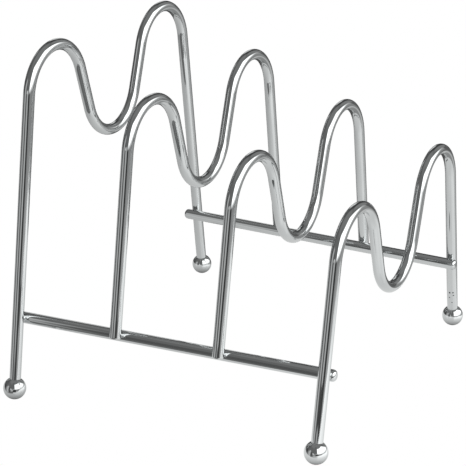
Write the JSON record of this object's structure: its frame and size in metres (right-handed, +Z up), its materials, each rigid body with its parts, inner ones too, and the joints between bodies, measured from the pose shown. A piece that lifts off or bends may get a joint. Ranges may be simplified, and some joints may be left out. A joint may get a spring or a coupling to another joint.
{
  "type": "pot lid rack",
  "caption": "Free-standing rack of chrome-plated steel wire that holds pan lids on edge between bent wires, in slots that step down from one end to the other.",
  "frame": {"origin": "on the surface that the rack stands on, in the middle of its footprint", "axes": "+X along the crossbars towards the low end, +Y to the rear, +Z up"},
  "size_m": [0.1814, 0.2198, 0.182],
  "materials": {
    "chrome_plated_steel": "polished bright chrome plating on round steel wire and balls"
  },
  "bodies": {
    "root": {"tall_end_wire": "chrome_plated_steel", "second_wire": "chrome_plated_steel", "third_wire": "chrome_plated_steel", "low_end_wire": "chrome_plated_steel", "front_crossbar": "chrome_plated_steel", "rear_crossbar": "chrome_plated_steel", "tall_front_foot": "chrome_plated_steel", "tall_rear_foot": "chrome_plated_steel", "low_front_foot": "chrome_plated_steel", "low_rear_foot": "chrome_plated_steel"}
  },
  "joints": []
}
